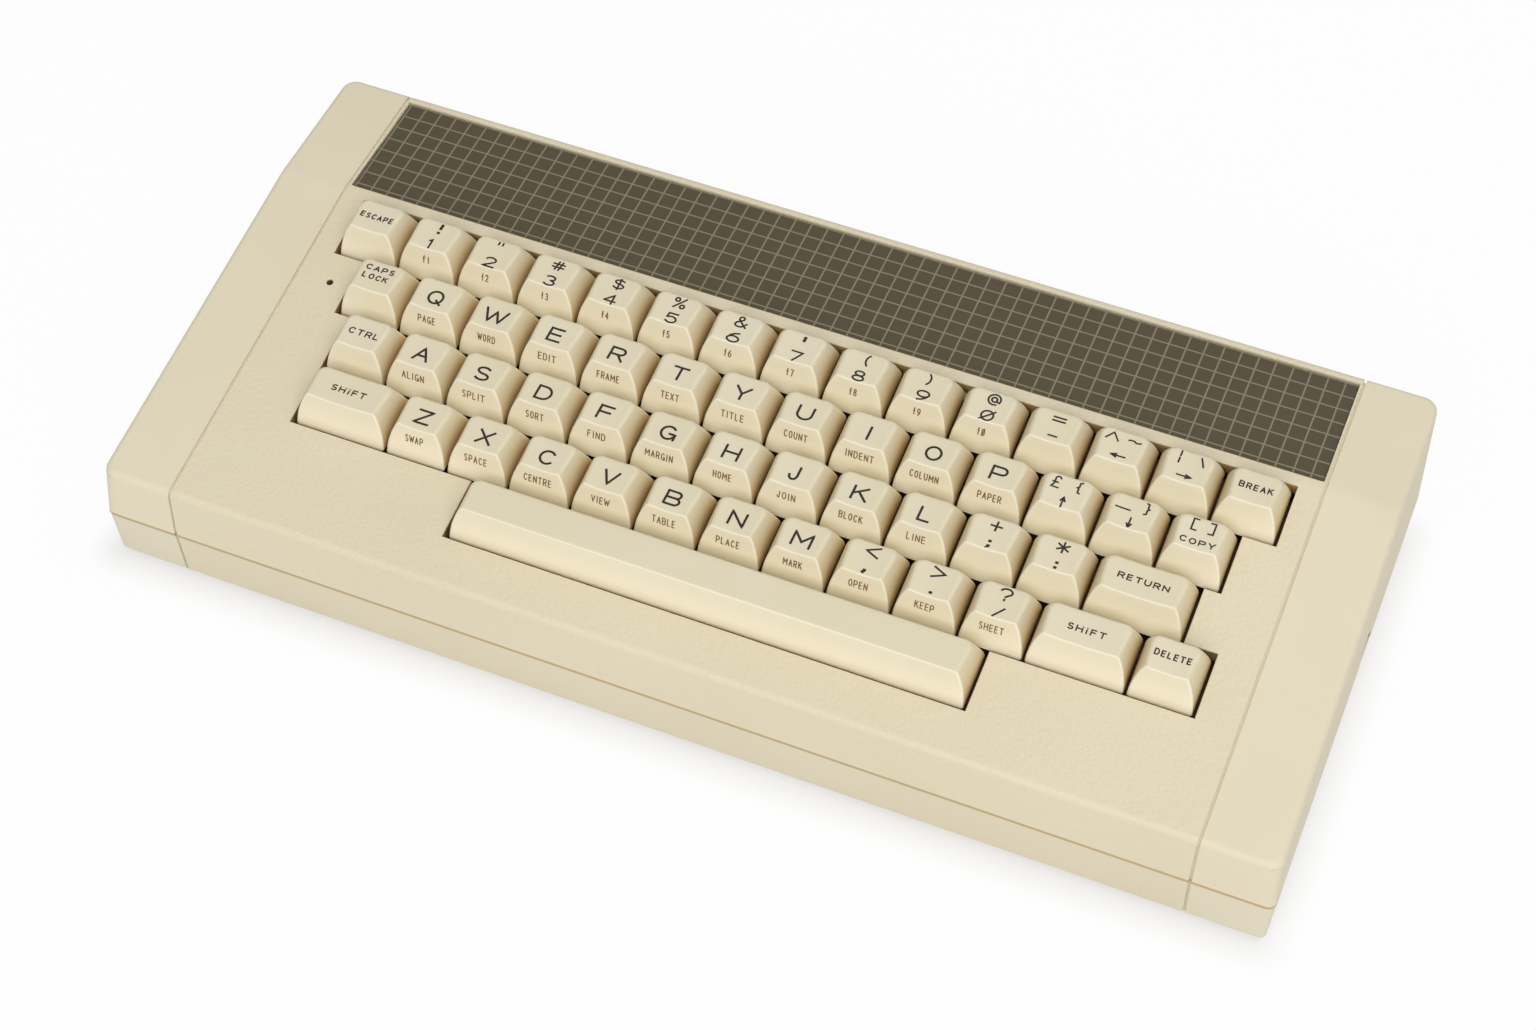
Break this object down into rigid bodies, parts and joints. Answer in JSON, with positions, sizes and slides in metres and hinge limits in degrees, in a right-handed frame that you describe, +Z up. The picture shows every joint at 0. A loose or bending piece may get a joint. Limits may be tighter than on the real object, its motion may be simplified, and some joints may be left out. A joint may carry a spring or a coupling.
{
  "type": "vintage home computer",
  "caption": "Wedge-shaped home computer with built-in sprung keys over a main board, for use on a table with a separate display and low-voltage supply.",
  "frame": {"origin": "on the table, under the middle of the case: the feet's lower faces lie in the plane z = 0", "axes": "+X to the right as the typist sees it, +Y to the rear, +Z up"},
  "size_m": [0.346, 0.16, 0.0653],
  "materials": {
    "case_upper": "fine leather grain, satin",
    "case_lower": "satin moulded plastic",
    "key_cap": "satin moulded plastic",
    "keyboard": "zinc-plated steel with black switches",
    "board": "lacquered circuit board",
    "grid_panel": "printed satin film",
    "rubber": "black rubber",
    "legend": "printed ink",
    "lamp": "unlit red lamp"
  },
  "bodies": {
    "case": {"upper_case": "case_upper", "lower_case": "case_lower", "keyboard_frame": "keyboard", "main_board": "board"},
    "key_escape_body": {"key_escape": "key_cap"},
    "key_1_body": {"key_1": "key_cap"},
    "key_2_body": {"key_2": "key_cap"},
    "key_3_body": {"key_3": "key_cap"},
    "key_4_body": {"key_4": "key_cap"},
    "key_5_body": {"key_5": "key_cap"},
    "key_6_body": {"key_6": "key_cap"},
    "key_7_body": {"key_7": "key_cap"},
    "key_8_body": {"key_8": "key_cap"},
    "key_9_body": {"key_9": "key_cap"},
    "key_0_body": {"key_0": "key_cap"},
    "key_minus_body": {"key_minus": "key_cap"},
    "key_left_body": {"key_left": "key_cap"},
    "key_right_body": {"key_right": "key_cap"},
    "key_break_body": {"key_break": "key_cap"},
    "key_caps_body": {"key_caps": "key_cap"},
    "key_q_body": {"key_q": "key_cap"},
    "key_w_body": {"key_w": "key_cap"},
    "key_e_body": {"key_e": "key_cap"},
    "key_r_body": {"key_r": "key_cap"},
    "key_t_body": {"key_t": "key_cap"},
    "key_y_body": {"key_y": "key_cap"},
    "key_u_body": {"key_u": "key_cap"},
    "key_i_body": {"key_i": "key_cap"},
    "key_o_body": {"key_o": "key_cap"},
    "key_p_body": {"key_p": "key_cap"},
    "key_up_body": {"key_up": "key_cap"},
    "key_down_body": {"key_down": "key_cap"},
    "key_copy_body": {"key_copy": "key_cap"},
    "key_control_body": {"key_control": "key_cap"},
    "key_a_body": {"key_a": "key_cap"},
    "key_s_body": {"key_s": "key_cap"},
    "key_d_body": {"key_d": "key_cap"},
    "key_f_body": {"key_f": "key_cap"},
    "key_g_body": {"key_g": "key_cap"},
    "key_h_body": {"key_h": "key_cap"},
    "key_j_body": {"key_j": "key_cap"},
    "key_k_body": {"key_k": "key_cap"},
    "key_l_body": {"key_l": "key_cap"},
    "key_semicolon_body": {"key_semicolon": "key_cap"},
    "key_colon_body": {"key_colon": "key_cap"},
    "key_return_body": {"key_return": "key_cap"},
    "key_shift_left_body": {"key_shift_left": "key_cap"},
    "key_z_body": {"key_z": "key_cap"},
    "key_x_body": {"key_x": "key_cap"},
    "key_c_body": {"key_c": "key_cap"},
    "key_v_body": {"key_v": "key_cap"},
    "key_b_body": {"key_b": "key_cap"},
    "key_n_body": {"key_n": "key_cap"},
    "key_m_body": {"key_m": "key_cap"},
    "key_comma_body": {"key_comma": "key_cap"},
    "key_stop_body": {"key_stop": "key_cap"},
    "key_slash_body": {"key_slash": "key_cap"},
    "key_shift_right_body": {"key_shift_right": "key_cap"},
    "key_delete_body": {"key_delete": "key_cap"},
    "key_space_body": {"key_space": "key_cap"}
  },
  "joints": [
    {"name": "key_escape_press", "type": "slide", "parent": "case", "child": "key_escape_body", "axis": [0, 0.1994, -0.9799], "range_m": [0, 0.0038], "stiffness_N_per_m": 100, "springref_m": -0.003},
    {"name": "key_1_press", "type": "slide", "parent": "case", "child": "key_1_body", "axis": [0, 0.1994, -0.9799], "range_m": [0, 0.0038], "stiffness_N_per_m": 100, "springref_m": -0.003},
    {"name": "key_2_press", "type": "slide", "parent": "case", "child": "key_2_body", "axis": [0, 0.1994, -0.9799], "range_m": [0, 0.0038], "stiffness_N_per_m": 100, "springref_m": -0.003},
    {"name": "key_3_press", "type": "slide", "parent": "case", "child": "key_3_body", "axis": [0, 0.1994, -0.9799], "range_m": [0, 0.0038], "stiffness_N_per_m": 100, "springref_m": -0.003},
    {"name": "key_4_press", "type": "slide", "parent": "case", "child": "key_4_body", "axis": [0, 0.1994, -0.9799], "range_m": [0, 0.0038], "stiffness_N_per_m": 100, "springref_m": -0.003},
    {"name": "key_5_press", "type": "slide", "parent": "case", "child": "key_5_body", "axis": [0, 0.1994, -0.9799], "range_m": [0, 0.0038], "stiffness_N_per_m": 100, "springref_m": -0.003},
    {"name": "key_6_press", "type": "slide", "parent": "case", "child": "key_6_body", "axis": [0, 0.1994, -0.9799], "range_m": [0, 0.0038], "stiffness_N_per_m": 100, "springref_m": -0.003},
    {"name": "key_7_press", "type": "slide", "parent": "case", "child": "key_7_body", "axis": [0, 0.1994, -0.9799], "range_m": [0, 0.0038], "stiffness_N_per_m": 100, "springref_m": -0.003},
    {"name": "key_8_press", "type": "slide", "parent": "case", "child": "key_8_body", "axis": [0, 0.1994, -0.9799], "range_m": [0, 0.0038], "stiffness_N_per_m": 100, "springref_m": -0.003},
    {"name": "key_9_press", "type": "slide", "parent": "case", "child": "key_9_body", "axis": [0, 0.1994, -0.9799], "range_m": [0, 0.0038], "stiffness_N_per_m": 100, "springref_m": -0.003},
    {"name": "key_0_press", "type": "slide", "parent": "case", "child": "key_0_body", "axis": [0, 0.1994, -0.9799], "range_m": [0, 0.0038], "stiffness_N_per_m": 100, "springref_m": -0.003},
    {"name": "key_minus_press", "type": "slide", "parent": "case", "child": "key_minus_body", "axis": [0, 0.1994, -0.9799], "range_m": [0, 0.0038], "stiffness_N_per_m": 100, "springref_m": -0.003},
    {"name": "key_left_press", "type": "slide", "parent": "case", "child": "key_left_body", "axis": [0, 0.1994, -0.9799], "range_m": [0, 0.0038], "stiffness_N_per_m": 100, "springref_m": -0.003},
    {"name": "key_right_press", "type": "slide", "parent": "case", "child": "key_right_body", "axis": [0, 0.1994, -0.9799], "range_m": [0, 0.0038], "stiffness_N_per_m": 100, "springref_m": -0.003},
    {"name": "key_break_press", "type": "slide", "parent": "case", "child": "key_break_body", "axis": [0, 0.1994, -0.9799], "range_m": [0, 0.0038], "stiffness_N_per_m": 100, "springref_m": -0.003},
    {"name": "key_caps_press", "type": "slide", "parent": "case", "child": "key_caps_body", "axis": [0, 0.1994, -0.9799], "range_m": [0, 0.0038], "stiffness_N_per_m": 100, "springref_m": -0.003},
    {"name": "key_q_press", "type": "slide", "parent": "case", "child": "key_q_body", "axis": [0, 0.1994, -0.9799], "range_m": [0, 0.0038], "stiffness_N_per_m": 100, "springref_m": -0.003},
    {"name": "key_w_press", "type": "slide", "parent": "case", "child": "key_w_body", "axis": [0, 0.1994, -0.9799], "range_m": [0, 0.0038], "stiffness_N_per_m": 100, "springref_m": -0.003},
    {"name": "key_e_press", "type": "slide", "parent": "case", "child": "key_e_body", "axis": [0, 0.1994, -0.9799], "range_m": [0, 0.0038], "stiffness_N_per_m": 100, "springref_m": -0.003},
    {"name": "key_r_press", "type": "slide", "parent": "case", "child": "key_r_body", "axis": [0, 0.1994, -0.9799], "range_m": [0, 0.0038], "stiffness_N_per_m": 100, "springref_m": -0.003},
    {"name": "key_t_press", "type": "slide", "parent": "case", "child": "key_t_body", "axis": [0, 0.1994, -0.9799], "range_m": [0, 0.0038], "stiffness_N_per_m": 100, "springref_m": -0.003},
    {"name": "key_y_press", "type": "slide", "parent": "case", "child": "key_y_body", "axis": [0, 0.1994, -0.9799], "range_m": [0, 0.0038], "stiffness_N_per_m": 100, "springref_m": -0.003},
    {"name": "key_u_press", "type": "slide", "parent": "case", "child": "key_u_body", "axis": [0, 0.1994, -0.9799], "range_m": [0, 0.0038], "stiffness_N_per_m": 100, "springref_m": -0.003},
    {"name": "key_i_press", "type": "slide", "parent": "case", "child": "key_i_body", "axis": [0, 0.1994, -0.9799], "range_m": [0, 0.0038], "stiffness_N_per_m": 100, "springref_m": -0.003},
    {"name": "key_o_press", "type": "slide", "parent": "case", "child": "key_o_body", "axis": [0, 0.1994, -0.9799], "range_m": [0, 0.0038], "stiffness_N_per_m": 100, "springref_m": -0.003},
    {"name": "key_p_press", "type": "slide", "parent": "case", "child": "key_p_body", "axis": [0, 0.1994, -0.9799], "range_m": [0, 0.0038], "stiffness_N_per_m": 100, "springref_m": -0.003},
    {"name": "key_up_press", "type": "slide", "parent": "case", "child": "key_up_body", "axis": [0, 0.1994, -0.9799], "range_m": [0, 0.0038], "stiffness_N_per_m": 100, "springref_m": -0.003},
    {"name": "key_down_press", "type": "slide", "parent": "case", "child": "key_down_body", "axis": [0, 0.1994, -0.9799], "range_m": [0, 0.0038], "stiffness_N_per_m": 100, "springref_m": -0.003},
    {"name": "key_copy_press", "type": "slide", "parent": "case", "child": "key_copy_body", "axis": [0, 0.1994, -0.9799], "range_m": [0, 0.0038], "stiffness_N_per_m": 100, "springref_m": -0.003},
    {"name": "key_control_press", "type": "slide", "parent": "case", "child": "key_control_body", "axis": [0, 0.1994, -0.9799], "range_m": [0, 0.0038], "stiffness_N_per_m": 100, "springref_m": -0.003},
    {"name": "key_a_press", "type": "slide", "parent": "case", "child": "key_a_body", "axis": [0, 0.1994, -0.9799], "range_m": [0, 0.0038], "stiffness_N_per_m": 100, "springref_m": -0.003},
    {"name": "key_s_press", "type": "slide", "parent": "case", "child": "key_s_body", "axis": [0, 0.1994, -0.9799], "range_m": [0, 0.0038], "stiffness_N_per_m": 100, "springref_m": -0.003},
    {"name": "key_d_press", "type": "slide", "parent": "case", "child": "key_d_body", "axis": [0, 0.1994, -0.9799], "range_m": [0, 0.0038], "stiffness_N_per_m": 100, "springref_m": -0.003},
    {"name": "key_f_press", "type": "slide", "parent": "case", "child": "key_f_body", "axis": [0, 0.1994, -0.9799], "range_m": [0, 0.0038], "stiffness_N_per_m": 100, "springref_m": -0.003},
    {"name": "key_g_press", "type": "slide", "parent": "case", "child": "key_g_body", "axis": [0, 0.1994, -0.9799], "range_m": [0, 0.0038], "stiffness_N_per_m": 100, "springref_m": -0.003},
    {"name": "key_h_press", "type": "slide", "parent": "case", "child": "key_h_body", "axis": [0, 0.1994, -0.9799], "range_m": [0, 0.0038], "stiffness_N_per_m": 100, "springref_m": -0.003},
    {"name": "key_j_press", "type": "slide", "parent": "case", "child": "key_j_body", "axis": [0, 0.1994, -0.9799], "range_m": [0, 0.0038], "stiffness_N_per_m": 100, "springref_m": -0.003},
    {"name": "key_k_press", "type": "slide", "parent": "case", "child": "key_k_body", "axis": [0, 0.1994, -0.9799], "range_m": [0, 0.0038], "stiffness_N_per_m": 100, "springref_m": -0.003},
    {"name": "key_l_press", "type": "slide", "parent": "case", "child": "key_l_body", "axis": [0, 0.1994, -0.9799], "range_m": [0, 0.0038], "stiffness_N_per_m": 100, "springref_m": -0.003},
    {"name": "key_semicolon_press", "type": "slide", "parent": "case", "child": "key_semicolon_body", "axis": [0, 0.1994, -0.9799], "range_m": [0, 0.0038], "stiffness_N_per_m": 100, "springref_m": -0.003},
    {"name": "key_colon_press", "type": "slide", "parent": "case", "child": "key_colon_body", "axis": [0, 0.1994, -0.9799], "range_m": [0, 0.0038], "stiffness_N_per_m": 100, "springref_m": -0.003},
    {"name": "key_return_press", "type": "slide", "parent": "case", "child": "key_return_body", "axis": [0, 0.1994, -0.9799], "range_m": [0, 0.0038], "stiffness_N_per_m": 100, "springref_m": -0.003},
    {"name": "key_shift_left_press", "type": "slide", "parent": "case", "child": "key_shift_left_body", "axis": [0, 0.1994, -0.9799], "range_m": [0, 0.0038], "stiffness_N_per_m": 100, "springref_m": -0.003},
    {"name": "key_z_press", "type": "slide", "parent": "case", "child": "key_z_body", "axis": [0, 0.1994, -0.9799], "range_m": [0, 0.0038], "stiffness_N_per_m": 100, "springref_m": -0.003},
    {"name": "key_x_press", "type": "slide", "parent": "case", "child": "key_x_body", "axis": [0, 0.1994, -0.9799], "range_m": [0, 0.0038], "stiffness_N_per_m": 100, "springref_m": -0.003},
    {"name": "key_c_press", "type": "slide", "parent": "case", "child": "key_c_body", "axis": [0, 0.1994, -0.9799], "range_m": [0, 0.0038], "stiffness_N_per_m": 100, "springref_m": -0.003},
    {"name": "key_v_press", "type": "slide", "parent": "case", "child": "key_v_body", "axis": [0, 0.1994, -0.9799], "range_m": [0, 0.0038], "stiffness_N_per_m": 100, "springref_m": -0.003},
    {"name": "key_b_press", "type": "slide", "parent": "case", "child": "key_b_body", "axis": [0, 0.1994, -0.9799], "range_m": [0, 0.0038], "stiffness_N_per_m": 100, "springref_m": -0.003},
    {"name": "key_n_press", "type": "slide", "parent": "case", "child": "key_n_body", "axis": [0, 0.1994, -0.9799], "range_m": [0, 0.0038], "stiffness_N_per_m": 100, "springref_m": -0.003},
    {"name": "key_m_press", "type": "slide", "parent": "case", "child": "key_m_body", "axis": [0, 0.1994, -0.9799], "range_m": [0, 0.0038], "stiffness_N_per_m": 100, "springref_m": -0.003},
    {"name": "key_comma_press", "type": "slide", "parent": "case", "child": "key_comma_body", "axis": [0, 0.1994, -0.9799], "range_m": [0, 0.0038], "stiffness_N_per_m": 100, "springref_m": -0.003},
    {"name": "key_stop_press", "type": "slide", "parent": "case", "child": "key_stop_body", "axis": [0, 0.1994, -0.9799], "range_m": [0, 0.0038], "stiffness_N_per_m": 100, "springref_m": -0.003},
    {"name": "key_slash_press", "type": "slide", "parent": "case", "child": "key_slash_body", "axis": [0, 0.1994, -0.9799], "range_m": [0, 0.0038], "stiffness_N_per_m": 100, "springref_m": -0.003},
    {"name": "key_shift_right_press", "type": "slide", "parent": "case", "child": "key_shift_right_body", "axis": [0, 0.1994, -0.9799], "range_m": [0, 0.0038], "stiffness_N_per_m": 100, "springref_m": -0.003},
    {"name": "key_delete_press", "type": "slide", "parent": "case", "child": "key_delete_body", "axis": [0, 0.1994, -0.9799], "range_m": [0, 0.0038], "stiffness_N_per_m": 100, "springref_m": -0.003},
    {"name": "key_space_press", "type": "slide", "parent": "case", "child": "key_space_body", "axis": [0, 0.1994, -0.9799], "range_m": [0, 0.0038], "stiffness_N_per_m": 100, "springref_m": -0.003}
  ]
}
